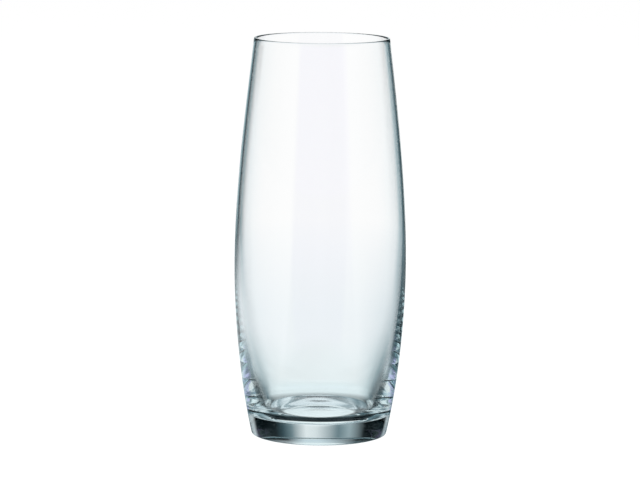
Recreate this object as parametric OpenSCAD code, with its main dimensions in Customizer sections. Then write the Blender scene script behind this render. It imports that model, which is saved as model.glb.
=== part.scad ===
// A clear barrel-shaped tumbler: a solid glass base, a blown bowl that thins upwards and a fire-polished rim.
// The three are zones of one glass. They are cut from one half-section, and meet face to face on level seams.
// Lengths are in millimetres, Z points up, and the origin is on the table under the middle of the glass.

/* [Outside] */
// Height from the table to the top of the lip
height = 160; // [130:1:190]
// Outside diameter of the lip
rim_d = 54.4; // [48:0.2:62]
// Lean of the side inwards at the lip, in degrees
rim_lean = 6.3; // [3:0.1:9]
// Outside diameter at the widest point
belly_d = 69; // [64:0.5:76]
// Height of the widest point above the table
belly_z = 69; // [56:1:82]
// Diameter at which the side would meet the table if its corner were sharp
foot_d = 54.3; // [48:0.1:60]
// Lean of the side outwards at the foot, in degrees
foot_lean = 13.2; // [8:0.2:18]
// Radius of the corner between the side and the table
foot_round = 0.6; // [0.4:0.1:3]

/* [Curve of the side] */
// Stretch of the side that the lean at the lip governs
rim_pull = 22; // [14:0.5:30]
// Stretch above the widest point that runs nearly upright
belly_pull_up = 34; // [20:0.5:46]
// Stretch below the widest point that runs nearly upright
belly_pull_down = 20; // [10:0.5:30]
// Stretch of the side that the lean at the foot governs
foot_pull = 22; // [10:0.5:30]

/* [Wall and hollow] */
// Thickness of the wall at the lip
rim_wall = 1.1; // [0.8:0.05:1.6]
// Radius outside at its widest, less the radius inside at its widest
belly_wall = 1.4; // [1:0.05:2.2]
// Height of the hollow's widest point above that of the outside
hollow_rise = 8; // [2:0.5:12]
// Stretch of the hollow below its widest point that runs nearly upright
hollow_pull = 32; // [10:0.5:40]
// Lean of the hollow's side outwards just above the bend to the floor, in degrees
hollow_lean = 19.5; // [14:0.5:26]
// Stretch of the hollow above the bend that this lean governs
hollow_low_pull = 14; // [4:0.5:26]
// Radius of the bend between the hollow's side and its floor
floor_round = 8.5; // [3:0.1:12]
// Diameter of the floor inside, within the bend
floor_d = 32.8; // [16:0.2:40]
// Depth of the floor's middle below its edge
floor_dip = 0.4; // [0.2:0.1:2]

/* [Base] */
// Height of the solid base, from the table to the seam under the bowl
base_h = 5.5; // [4:0.5:12]
// Thickness of the middle of the bowl's floor above the base
bowl_floor = 2.1; // [1.5:0.1:6]
// Width of the flat ring that stands on the table
foot_ring_w = 8; // [2:0.1:12]
// Depth of the shallow hollow under the base
punt_depth = 1.2; // [0.4:0.1:3]

/* [Rim] */
// Height of the fire-polished rim, from its seam with the bowl to the top of the lip
rim_h = 2; // [1:0.25:6]

/* [Hidden] */

// Straight pieces in each long curve, and in each short arc
curve_steps = 28;
arc_steps = 10;
// Straight pieces in a full turn
turn_steps = 180;
// Colour of the clear glass, with its see-through share last
glass = [0.86, 0.93, 0.94, 0.4];

// The lip is a full round: its centre, and the direction square to the wall there
lip_r = rim_wall / 2;
lip_centre = [rim_d / 2 - lip_r, height - lip_r];
lip_out = [cos(rim_lean), sin(rim_lean)];
lip_down = [sin(rim_lean), -cos(rim_lean)];
lip_outer = lip_centre + lip_r * lip_out;
lip_inner = lip_centre - lip_r * lip_out;

// The corner at the foot touches both the table and the leaning side
foot_centre = [foot_d / 2 - foot_round * (1 - sin(foot_lean)) / cos(foot_lean), foot_round];
foot_up = [sin(foot_lean), cos(foot_lean)];
foot_side = foot_centre + foot_round * [cos(foot_lean), -sin(foot_lean)];

// The hollow under the base is part of a large ball
punt_r = foot_centre.x - foot_ring_w;
punt_ball_r = (punt_r * punt_r + punt_depth * punt_depth) / (2 * punt_depth);
punt_centre = [0, punt_depth - punt_ball_r];
punt_edge_angle = 90 - asin(punt_r / punt_ball_r);

// The floor inside is part of a large ball too
floor_r = floor_d / 2;
floor_mid = base_h + bowl_floor;
floor_ball_r = (floor_r * floor_r + floor_dip * floor_dip) / (2 * floor_dip);
floor_centre = [0, floor_mid + floor_ball_r];
floor_slope = asin(floor_r / floor_ball_r);

// The bend at the edge of the floor runs on smoothly from it and into the leaning side of the hollow
bend_centre = [floor_r, floor_mid + floor_dip] + floor_round * [-sin(floor_slope), cos(floor_slope)];
bend_side = bend_centre + floor_round * [cos(hollow_lean), -sin(hollow_lean)];
hollow_up = [sin(hollow_lean), cos(hollow_lean)];

// Widest points of the outside and of the hollow
belly = [belly_d / 2, belly_z];
hollow = [belly_d / 2 - belly_wall, belly_z + hollow_rise];
// Above the belly the hollow bends at the same heights as the outside does
hollow_pull_up = belly_pull_up - hollow_rise;
lip_inner_pull = rim_pull - hollow_rise;

// Point at share t of a cubic curve from a to d, which b and c pull
function cubic(a, b, c, d, t) =
    pow(1 - t, 3) * a + 3 * t * pow(1 - t, 2) * b + 3 * t * t * (1 - t) * c + pow(t, 3) * d;

// Points along a cubic curve, without its first, because the stretch before it ends there
function curve(a, b, c, d) = [for (i = [1 : curve_steps]) cubic(a, b, c, d, i / curve_steps)];

// Points along an arc, also without its first
function arc(centre, r, from, to) =
    [for (i = [1 : arc_steps])
        let (angle = from + (to - from) * i / arc_steps)
            centre + r * [cos(angle), sin(angle)]];

// Half-section of the whole glass, from the middle of its underside round to the middle of its floor
underside = arc(punt_centre, punt_ball_r, 90, punt_edge_angle);
foot_corner = arc(foot_centre, foot_round, -90, -foot_lean);
lower_side = curve(foot_side, foot_side + foot_pull * foot_up, belly - [0, belly_pull_down], belly);
upper_side = curve(belly, belly + [0, belly_pull_up], lip_outer + rim_pull * lip_down, lip_outer);
lip = arc(lip_centre, lip_r, rim_lean, 180 + rim_lean);
upper_hollow = curve(lip_inner, lip_inner + lip_inner_pull * lip_down, hollow + [0, hollow_pull_up], hollow);
lower_hollow = curve(hollow, hollow - [0, hollow_pull], bend_side + hollow_low_pull * hollow_up, bend_side);
bend = arc(bend_centre, floor_round, -hollow_lean, floor_slope - 90);
floor_dish = arc(floor_centre, floor_ball_r, floor_slope - 90, -90);
half_section = concat(
    [[0, punt_depth]],
    underside,
    [[foot_centre.x, 0]],
    foot_corner,
    lower_side,
    upper_side,
    lip,
    upper_hollow,
    lower_hollow,
    bend,
    floor_dish
);

// Zone of the glass between two heights
module zone(z_low, z_high) {
    rotate_extrude($fn = turn_steps)
        intersection() {
            polygon(half_section);
            translate([0, z_low])
                square([belly_d, z_high - z_low]);
        }
}

// Solid disc of glass that the bowl stands on, rounded at its foot and hollowed underneath
module base() {
    color(glass)
        zone(0, base_h);
}

// Closed cup with a thin floor, whose wall is thick at the bottom and thin from the belly up
module bowl() {
    color(glass)
        zone(base_h, height - rim_h);
}

// Ring of the wall that ends in the rounded lip
module rim() {
    color(glass)
        zone(height - rim_h, height);
}

base();
bowl();
rim();
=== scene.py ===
"""Looks of the clear barrel tumbler: one unbroken glass on a white table, lit as glass is photographed."""

import math

import bmesh
import bpy
from mathutils import Matrix, Vector
from mathutils.geometry import interpolate_bezier


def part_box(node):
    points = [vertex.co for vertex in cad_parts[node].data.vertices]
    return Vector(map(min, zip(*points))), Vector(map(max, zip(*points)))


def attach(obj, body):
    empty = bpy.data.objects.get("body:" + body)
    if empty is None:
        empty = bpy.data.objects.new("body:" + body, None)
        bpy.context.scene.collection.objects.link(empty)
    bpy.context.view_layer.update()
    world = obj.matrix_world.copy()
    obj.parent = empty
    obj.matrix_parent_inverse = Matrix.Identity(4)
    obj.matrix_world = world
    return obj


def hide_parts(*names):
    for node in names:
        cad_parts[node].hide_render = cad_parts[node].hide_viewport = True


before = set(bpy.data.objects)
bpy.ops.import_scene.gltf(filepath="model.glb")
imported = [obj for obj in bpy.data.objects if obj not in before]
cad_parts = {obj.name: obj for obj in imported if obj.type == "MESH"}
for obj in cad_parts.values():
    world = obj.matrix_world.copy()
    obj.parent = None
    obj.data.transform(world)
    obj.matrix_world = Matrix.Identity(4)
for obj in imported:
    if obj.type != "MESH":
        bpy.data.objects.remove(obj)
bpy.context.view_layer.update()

# Sizes of the glass in metres: what the frame's boxes give, and then the sizes that the boxes don't show
glass_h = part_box("rim")[1].z
belly_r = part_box("bowl")[1].x
rim_r = 0.0272
rim_lean = math.radians(6.3)
rim_wall = 0.0011
rim_pull = 0.022
belly_z = 0.069
belly_pull_up = 0.034
belly_pull_down = 0.020
foot_r = 0.02715
foot_lean = math.radians(13.2)
foot_round = 0.0006
foot_pull = 0.022
foot_ring_w = 0.008
punt_depth = 0.0012
belly_wall = 0.0014
hollow_rise = 0.008
hollow_pull = 0.032
hollow_lean = math.radians(19.5)
hollow_low_pull = 0.014
floor_round = 0.0085
floor_r = 0.0164
floor_z = 0.0080
floor_dip = 0.0004

# Fineness of the mesh: points in a long curve, points in a short arc, and steps in a full turn
curve_steps = 40
arc_steps = 12
turn_steps = 192
# Points closer together than this, in metres, become one
weld_gap = 1e-6

# Glass: how much it bends light, and the faint colour that builds up in its depth
glass_ior = 1.52
depth_colour = (0.88, 0.97, 0.98, 1)
depth_density = 12
# Unevenness of blown glass: waves in a metre, and their height in metres
wave_count = 35
wave_h = 0.00004
# Wear of the ring that stands on the table: heights where it ends and where it is full, in metres,
# specks in a metre, and roughness
wear_end_z = 0.0003
wear_full_z = 0.0001
speck_count = 900
wear_rough = 0.1
# What each surface of the glass lets through of the lamps' light
lamp_share = (0.93, 0.96, 0.96, 1)

# Studio as the glass sees it: degrees to the right of straight behind the glass, and how light it is there.
# The room comes first, from high up down to the horizon, and then the light and shade painted on the table,
# from far away to the foot.
white = (1.00, 1.00, 1.00, 1)
soft_white = (0.85, 0.85, 0.85, 1)
front_blue = (0.60, 0.59, 0.81, 1)
front_wall_blue = (0.64, 0.59, 0.92, 1)
overhead_light = [
    (-180, 0.05), (-120, 0.40), (-80, 0.40), (-45, 0.10), (-25, 0.25), (-5, 0.90), (20, 0.95), (45, 0.35),
    (80, 0.50), (120, 0.15), (180, 0.05),
]
wall_light = [
    (-180, 0.15), (-165, 0.45), (-150, 0.70), (-118, 0.55), (-104, 0.15), (-92, 0.20), (-80, 1.00),
    (-68, 0.70), (-56, 0.00), (-25, 0.00), (0, 0.70), (8, 0.70), (20, 0.00), (54, 0.00), (64, 0.90),
    (80, 1.00), (92, 0.10), (104, 0.30), (118, 0.25), (150, 0.05), (180, 0.15),
]
low_light = [
    (-180, front_wall_blue), (-146, front_wall_blue), (-141, 1.00), (-120, 0.90), (-96, 0.75), (-67, 0.65),
    (-60, 0.00), (-30, 0.00), (-18, 0.40), (-11, 0.20), (2, 0.80), (7, 0.85), (16, 0.20), (22, 0.05),
    (28, 0.00), (54, 0.00), (62, 0.70), (96, 0.75), (120, 0.85), (136, 0.90), (141, front_wall_blue),
    (180, front_wall_blue),
]
far_light = [
    (-180, front_blue), (-146, front_blue), (-141, white), (-95, soft_white), (-60, 0.70), (-48, 0.10),
    (-30, 0.00), (-20, 0.30), (-13, 0.50), (-9, white), (9, white), (13, 0.35), (20, 0.00), (30, 0.20),
    (45, 0.45), (60, 0.70), (95, soft_white), (136, soft_white), (141, front_blue), (180, front_blue),
]
mid_light = [
    (-180, 0.55), (-146, 0.55), (-141, 0.85), (-40, 0.85), (-30, 0.70), (-18, 0.70), (-8, 0.90), (0, 0.95),
    (8, 0.80), (18, 0.35), (30, 0.05), (50, 0.15), (62, 0.75), (136, 0.80), (141, 0.55), (180, 0.55),
]
near_light = [
    (-180, 0.50), (-146, 0.50), (-141, 0.80), (-118, 0.70), (-95, 0.60), (-80, 0.60), (-66, 0.70),
    (-56, 0.35), (-38, 0.35), (-28, 0.50), (-18, 0.55), (-8, 0.85), (0, 0.95), (8, 0.75), (18, 0.30),
    (30, 0.05), (45, 0.05), (62, 0.70), (78, 0.25), (105, 0.40), (125, 0.75), (136, 0.80), (141, 0.50),
    (180, 0.50),
]
# Round the foot the table is painted dark to the sides, a painted shadow of the glass
foot_light = [
    (-180, 0.40), (-160, 0.20), (-135, 0.00), (-50, 0.00), (-25, 0.20), (-12, 0.85), (0, 0.95), (12, 0.70),
    (25, 0.10), (50, 0.00), (160, 0.00), (180, 0.40),
]
# Light of the ceiling, of the glass's own shadow painted on the table, and of the spot of light painted
# inside that shadow
ceiling_light = 0.02
shade_light = 0.004
under_light = 1.00
# Tints of the room and of the table
room_tint = (0.92, 1.00, 1.04)
far_tint = (0.86, 1.00, 1.04)
mid_tint = (0.97, 1.00, 1.02)
near_tint = (0.94, 1.00, 1.01)
foot_tint = (0.89, 1.00, 1.02)
plain_tint = (1.00, 1.00, 1.00)
# Powers by which red and blue follow green from white to black
red_power = 1.25
blue_power = 0.93
# Degrees above the horizon between which one height of the room turns into the next
far_to_low = (0.3, 0.9)
low_to_wall = (9, 13)
wall_to_overhead = (18, 40)
overhead_to_ceiling = (64, 74)
# Metres from the axis between which one ring of the table turns into the next
far_to_mid = (0.600, 0.220)
mid_to_near = (0.150, 0.075)
near_to_foot = (0.065, 0.046)
foot_to_shade = (0.032, 0.024)
shade_to_under = (0.0174, 0.0150)
# Half the width, in metres, of the strip of table that runs straight to the back and to the front
strip_half = 0.020

# Table: its radius and its depth below the foot in metres, its corners, its paint, and how much of its
# white reaches the camera whatever the lamps do
table_r = 30
table_drop = 0.0002
table_corners = 128
table_paint = (0.95, 0.95, 0.95, 1)
table_glow = 0.8

# Soft lamps: places and width in metres, and watts
left_lamp_place = (-0.8, -0.7, 0.9)
left_lamp_watts = 14
right_lamp_place = (0.9, -0.4, 0.8)
right_lamp_watts = 9
lamp_w = 0.6
# Times that light may bend or turn back inside the glass
light_bounces = 48

# Camera of the photograph: place in metres, tilt down, roll, and lens and sensor in millimetres
camera_place = (-0.00016, -1.32098, 0.27116)
camera_tilt = math.radians(8.294)
camera_roll = math.radians(0.48)
camera_lens = 186.96
camera_sensor = 36


def section_point(r, z):
    """Point of the half-section, which lies in the XZ plane."""
    return Vector((r, 0, z))


def leaning(lean):
    """Direction that points up and leans away from the axis."""
    return section_point(math.sin(lean), math.cos(lean))


def curve(a, b, c, d):
    """Points along a cubic curve without its first, because the stretch before it ends there."""
    return interpolate_bezier(a, b, c, d, curve_steps + 1)[1:]


def arc(centre, radius, first, last):
    """Points along an arc between two angles, also without its first."""
    angles = [first + (last - first) * i / arc_steps for i in range(1, arc_steps + 1)]
    return [centre + radius * section_point(math.cos(a), math.sin(a)) for a in angles]


def dish(r, z, depth):
    """Ball that a shallow dish is part of: centre, radius, and angle from the dish's middle to its edge."""
    ball_r = (r ** 2 + depth ** 2) / (2 * abs(depth))
    side = math.copysign(1, depth)
    return section_point(0, z + depth - side * ball_r), ball_r, math.asin(r / ball_r)


def glass_section():
    """Half-section of the glass, from the middle of its underside round to the middle of its floor."""
    up = leaning(0)
    quarter = math.pi / 2

    lip_r = rim_wall / 2
    lip_centre = section_point(rim_r - lip_r, glass_h - lip_r)
    lip_out = section_point(math.cos(rim_lean), math.sin(rim_lean))
    lip_outer = lip_centre + lip_r * lip_out
    lip_inner = lip_centre - lip_r * lip_out
    lip_down = -leaning(-rim_lean)
    lip_pull = rim_pull - hollow_rise

    foot_shift = foot_round * (1 - math.sin(foot_lean)) / math.cos(foot_lean)
    foot_centre = section_point(foot_r - foot_shift, foot_round)
    foot_side = foot_centre + foot_round * section_point(math.cos(foot_lean), -math.sin(foot_lean))
    foot_tug = foot_side + foot_pull * leaning(foot_lean)

    punt_centre, punt_ball_r, punt_edge = dish(foot_centre.x - foot_ring_w, 0, punt_depth)
    floor_centre, floor_ball_r, floor_edge = dish(floor_r, floor_z, -floor_dip)

    belly = section_point(belly_r, belly_z)
    hollow = section_point(belly_r - belly_wall, belly_z + hollow_rise)
    hollow_pull_up = belly_pull_up - hollow_rise
    bend_centre = section_point(floor_r, floor_z) + floor_round * leaning(-floor_edge)
    bend_side = bend_centre + floor_round * section_point(math.cos(hollow_lean), -math.sin(hollow_lean))
    bend_tug = bend_side + hollow_low_pull * leaning(hollow_lean)

    outline = [section_point(0, punt_depth)]
    outline += arc(punt_centre, punt_ball_r, quarter, quarter - punt_edge)
    outline += [section_point(foot_centre.x, 0)]
    outline += arc(foot_centre, foot_round, -quarter, -foot_lean)
    outline += curve(foot_side, foot_tug, belly - belly_pull_down * up, belly)
    outline += curve(belly, belly + belly_pull_up * up, lip_outer + rim_pull * lip_down, lip_outer)
    outline += arc(lip_centre, lip_r, rim_lean, math.pi + rim_lean)
    outline += curve(lip_inner, lip_inner + lip_pull * lip_down, hollow + hollow_pull_up * up, hollow)
    outline += curve(hollow, hollow - hollow_pull * up, bend_tug, bend_side)
    outline += arc(bend_centre, floor_round, -hollow_lean, floor_edge - quarter)
    outline += arc(floor_centre, floor_ball_r, floor_edge - quarter, -quarter)
    return outline


def blow_glass():
    """Turns the half-section into the whole glass, closed at its two poles."""
    bm = bmesh.new()
    verts = [bm.verts.new(p) for p in glass_section()]
    edges = [bm.edges.new(pair) for pair in zip(verts, verts[1:])]
    bmesh.ops.spin(
        bm, geom=verts + edges, cent=(0, 0, 0), axis=(0, 0, 1),
        angle=math.tau, steps=turn_steps, use_merge=True,
    )
    bmesh.ops.remove_doubles(bm, verts=bm.verts, dist=weld_gap)
    bmesh.ops.recalc_face_normals(bm, faces=bm.faces)
    for face in bm.faces:
        face.smooth = True
    mesh = bpy.data.meshes.new("tumbler_glass")
    bm.to_mesh(mesh)
    bm.free()
    glass = bpy.data.objects.new("tumbler_glass", mesh)
    bpy.context.scene.collection.objects.link(glass)
    return glass


def calc(nodes, links, operation, *values):
    """Result of a Math node on sockets or plain numbers."""
    node = nodes.new("ShaderNodeMath")
    node.operation = operation
    for slot, value in zip(node.inputs, values):
        if isinstance(value, (int, float)):
            slot.default_value = value
        else:
            links.new(value, slot)
    return node.outputs[0]


def share_between(nodes, links, value, low, high):
    """How far a value is from one limit to the other, as a share from 0 to 1."""
    node = nodes.new("ShaderNodeMapRange")
    node.inputs["From Min"].default_value = low
    node.inputs["From Max"].default_value = high
    links.new(value, node.inputs["Value"])
    return node.outputs["Result"]


def either(nodes, links, share, a, b):
    """Mix of two shaders."""
    node = nodes.new("ShaderNodeMixShader")
    links.new(share, node.inputs["Fac"])
    links.new(a, node.inputs[1])
    links.new(b, node.inputs[2])
    return node.outputs[0]


def clear_glass():
    """Clear soda glass, faintly blue-green where a long way is seen through it. Lamps shine through it."""
    mat = bpy.data.materials.new("clear_glass")
    mat.use_nodes = True
    nodes, links = mat.node_tree.nodes, mat.node_tree.links
    output = nodes["Material Output"]
    body = nodes["Principled BSDF"]
    body.inputs["Base Color"].default_value = white
    body.inputs["IOR"].default_value = glass_ior
    body.inputs["Transmission Weight"].default_value = 1
    coord = nodes.new("ShaderNodeTexCoord")

    # The surface is very slightly uneven, as blown glass is
    waves = nodes.new("ShaderNodeTexNoise")
    waves.inputs["Scale"].default_value = wave_count
    waves.inputs["Detail"].default_value = 1
    links.new(coord.outputs["Object"], waves.inputs["Vector"])
    uneven = nodes.new("ShaderNodeBump")
    uneven.inputs["Strength"].default_value = 1
    uneven.inputs["Distance"].default_value = wave_h
    links.new(waves.outputs["Fac"], uneven.inputs["Height"])
    links.new(uneven.outputs["Normal"], body.inputs["Normal"])

    # The ring that stands on the table is a little worn, in fine specks
    specks = nodes.new("ShaderNodeTexNoise")
    specks.inputs["Scale"].default_value = speck_count
    links.new(coord.outputs["Object"], specks.inputs["Vector"])
    place = nodes.new("ShaderNodeSeparateXYZ")
    links.new(coord.outputs["Object"], place.inputs["Vector"])
    worn = share_between(nodes, links, place.outputs["Z"], wear_end_z, wear_full_z)
    wear = calc(nodes, links, "MULTIPLY", worn, specks.outputs["Fac"])
    links.new(calc(nodes, links, "MULTIPLY", wear, wear_rough), body.inputs["Roughness"])

    # Lamps shine through it
    through = nodes.new("ShaderNodeBsdfTransparent")
    through.inputs["Color"].default_value = lamp_share
    shadow_ray = nodes.new("ShaderNodeLightPath").outputs["Is Shadow Ray"]
    surface = either(nodes, links, shadow_ray, body.outputs["BSDF"], through.outputs["BSDF"])
    links.new(surface, output.inputs["Surface"])

    # Its depth is faintly coloured
    tint = nodes.new("ShaderNodeVolumeAbsorption")
    tint.inputs["Color"].default_value = depth_colour
    tint.inputs["Density"].default_value = depth_density
    links.new(tint.outputs["Volume"], output.inputs["Volume"])
    return mat


def cool_grey(level, tint):
    """Grey of the studio, which turns a little blue-green between white and black."""
    return (tint[0] * level ** red_power, tint[1] * level, tint[2] * level ** blue_power, 1)


def colour_at(nodes, links, value, stops, tint):
    """Colour for a value, out of a list of values with the grey or the colour at each."""
    low, high = stops[0][0], stops[-1][0]
    ramp = nodes.new("ShaderNodeValToRGB")
    marks = ramp.color_ramp.elements
    while len(marks) < len(stops):
        marks.new(1)
    for mark, (at, light) in zip(marks, stops):
        mark.position = (at - low) / (high - low)
        mark.color = light if isinstance(light, tuple) else cool_grey(light, tint)
    links.new(share_between(nodes, links, value, low, high), ramp.inputs["Fac"])
    return ramp.outputs["Color"]


def blended(nodes, links, value, limits, a, b):
    """Colour that turns from one into the other while a value goes from one limit to the other."""
    node = nodes.new("ShaderNodeMix")
    node.data_type = "RGBA"
    share = share_between(nodes, links, value, *limits)
    for name, source in (("Factor", share), ("A", a), ("B", b)):
        socket = next(s for s in node.inputs if s.name == name and s.enabled)
        if isinstance(source, tuple):
            socket.default_value = source
        else:
            links.new(source, socket)
    return next(s for s in node.outputs if s.enabled)


def degrees_off(nodes, links, x, y):
    """Angle to the right of straight behind the glass, in degrees."""
    return calc(nodes, links, "DEGREES", calc(nodes, links, "ARCTAN2", x, y))


def seen_by_glass(nodes, links):
    """1 for rays that the glass bends or throws back."""
    path = nodes.new("ShaderNodeLightPath")
    return calc(nodes, links, "MAXIMUM", path.outputs["Is Glossy Ray"], path.outputs["Is Transmission Ray"])


def room_light(nodes, links):
    """Light of the room as the glass sees it, from the horizon up to the ceiling."""
    coord = nodes.new("ShaderNodeTexCoord")
    way = nodes.new("ShaderNodeSeparateXYZ")
    links.new(coord.outputs["Generated"], way.inputs["Vector"])
    angle = degrees_off(nodes, links, way.outputs["X"], way.outputs["Y"])
    height = calc(nodes, links, "DEGREES", calc(nodes, links, "ARCSINE", way.outputs["Z"]))
    lit = colour_at(nodes, links, angle, far_light, far_tint)
    heights = (
        (far_to_low, colour_at(nodes, links, angle, low_light, plain_tint)),
        (low_to_wall, colour_at(nodes, links, angle, wall_light, room_tint)),
        (wall_to_overhead, colour_at(nodes, links, angle, overhead_light, room_tint)),
        (overhead_to_ceiling, cool_grey(ceiling_light, room_tint)),
    )
    for limits, higher in heights:
        lit = blended(nodes, links, height, limits, lit, higher)
    return lit


def studio_world():
    """White to the camera, pale and dark panels to the glass, plain white light to everything else."""
    world = bpy.data.worlds.new("studio")
    bpy.context.scene.world = world
    world.use_nodes = True
    nodes, links = world.node_tree.nodes, world.node_tree.links
    room = nodes.new("ShaderNodeBackground")
    links.new(room_light(nodes, links), room.inputs["Color"])
    plain = nodes.new("ShaderNodeBackground")
    plain.inputs["Color"].default_value = white
    backdrop = nodes.new("ShaderNodeBackground")
    backdrop.inputs["Color"].default_value = white
    camera_ray = nodes.new("ShaderNodeLightPath").outputs["Is Camera Ray"]
    around = either(nodes, links, seen_by_glass(nodes, links), plain.outputs[0], room.outputs[0])
    shown = either(nodes, links, camera_ray, around, backdrop.outputs[0])
    links.new(shown, nodes["World Output"].inputs["Surface"])


def table_light(nodes, links):
    """Light and shade painted on the table for the glass, ring by ring, from far away to the spot under the
    foot.
    """
    coord = nodes.new("ShaderNodeTexCoord")
    place = nodes.new("ShaderNodeSeparateXYZ")
    links.new(coord.outputs["Object"], place.inputs["Vector"])
    x, y = place.outputs["X"], place.outputs["Y"]
    strip = calc(nodes, links, "MAXIMUM", calc(nodes, links, "MINIMUM", x, strip_half), -strip_half)
    angle = degrees_off(nodes, links, calc(nodes, links, "SUBTRACT", x, strip), y)
    reach = nodes.new("ShaderNodeVectorMath")
    reach.operation = "LENGTH"
    links.new(coord.outputs["Object"], reach.inputs[0])
    lit = colour_at(nodes, links, angle, far_light, far_tint)
    rings = (
        (far_to_mid, colour_at(nodes, links, angle, mid_light, mid_tint)),
        (mid_to_near, colour_at(nodes, links, angle, near_light, near_tint)),
        (near_to_foot, colour_at(nodes, links, angle, foot_light, foot_tint)),
        # The glass's own shadow painted on the table, and a painted spot of light inside it
        (foot_to_shade, cool_grey(shade_light, plain_tint)),
        (shade_to_under, cool_grey(under_light, foot_tint)),
    )
    for limits, inner in rings:
        lit = blended(nodes, links, reach.outputs["Value"], limits, lit, inner)
    return lit


def white_table_painted_light():
    """Paint that is white to the camera, with the lamps' shadows in it, and glows to the glass in painted
    pale and dark patches.
    """
    mat = bpy.data.materials.new("white_table_painted_light")
    mat.use_nodes = True
    nodes, links = mat.node_tree.nodes, mat.node_tree.links
    nodes.remove(nodes["Principled BSDF"])
    # To the glass the table glows with painted light and shade: pale and dark patches, the glass's shadow
    # painted round its foot, and a painted spot of light under it
    panels = nodes.new("ShaderNodeEmission")
    links.new(table_light(nodes, links), panels.inputs["Color"])
    glow = nodes.new("ShaderNodeEmission")
    paint = nodes.new("ShaderNodeBsdfDiffuse")
    paint.inputs["Color"].default_value = table_paint
    to_camera = nodes.new("ShaderNodeMixShader")
    to_camera.inputs["Fac"].default_value = table_glow
    links.new(paint.outputs[0], to_camera.inputs[1])
    links.new(glow.outputs[0], to_camera.inputs[2])
    shown = either(nodes, links, seen_by_glass(nodes, links), to_camera.outputs[0], panels.outputs[0])
    links.new(shown, nodes["Material Output"].inputs["Surface"])
    return mat


def table_top():
    """Round table under the glass."""
    bm = bmesh.new()
    bmesh.ops.create_circle(bm, cap_ends=True, segments=table_corners, radius=table_r)
    bmesh.ops.translate(bm, verts=bm.verts, vec=(0, 0, -table_drop))
    mesh = bpy.data.meshes.new("table_top")
    bm.to_mesh(mesh)
    bm.free()
    table = bpy.data.objects.new("table_top", mesh)
    bpy.context.scene.collection.objects.link(table)
    mesh.materials.append(white_table_painted_light())


def soft_lamp(name, place, watts):
    """Square soft lamp that points at the glass. It lights the table, and doesn't show in the glass."""
    data = bpy.data.lights.new(name, "AREA")
    data.size = lamp_w
    data.energy = watts
    lamp = bpy.data.objects.new(name, data)
    lamp.location = place
    aim = section_point(0, glass_h / 2) - Vector(place)
    lamp.rotation_euler = aim.to_track_quat("-Z", "Y").to_euler()
    lamp.visible_glossy = False
    lamp.visible_transmission = False
    bpy.context.scene.collection.objects.link(lamp)


def photo_camera():
    """Camera where the photograph was taken from: a long lens, from above the rim."""
    data = bpy.data.cameras.new("photo_camera")
    data.sensor_width = camera_sensor
    data.lens = camera_lens
    camera = bpy.data.objects.new("photo_camera", data)
    camera.location = camera_place
    tilt = Matrix.Rotation(math.pi / 2 - camera_tilt, 3, "X")
    roll = Matrix.Rotation(camera_roll, 3, "Z")
    camera.rotation_euler = (tilt @ roll).to_euler()
    bpy.context.scene.collection.objects.link(camera)
    bpy.context.scene.camera = camera


scene = bpy.context.scene
scene.view_settings.view_transform = "Standard"
scene.cycles.max_bounces = light_bounces
scene.cycles.transmission_bounces = light_bounces
scene.cycles.glossy_bounces = light_bounces

photo_camera()
studio_world()
table_top()
soft_lamp("left_softbox", left_lamp_place, left_lamp_watts)
soft_lamp("right_softbox", right_lamp_place, right_lamp_watts)

glass = blow_glass()
glass.data.materials.append(clear_glass())
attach(glass, "root")
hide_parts("base", "bowl", "rim")
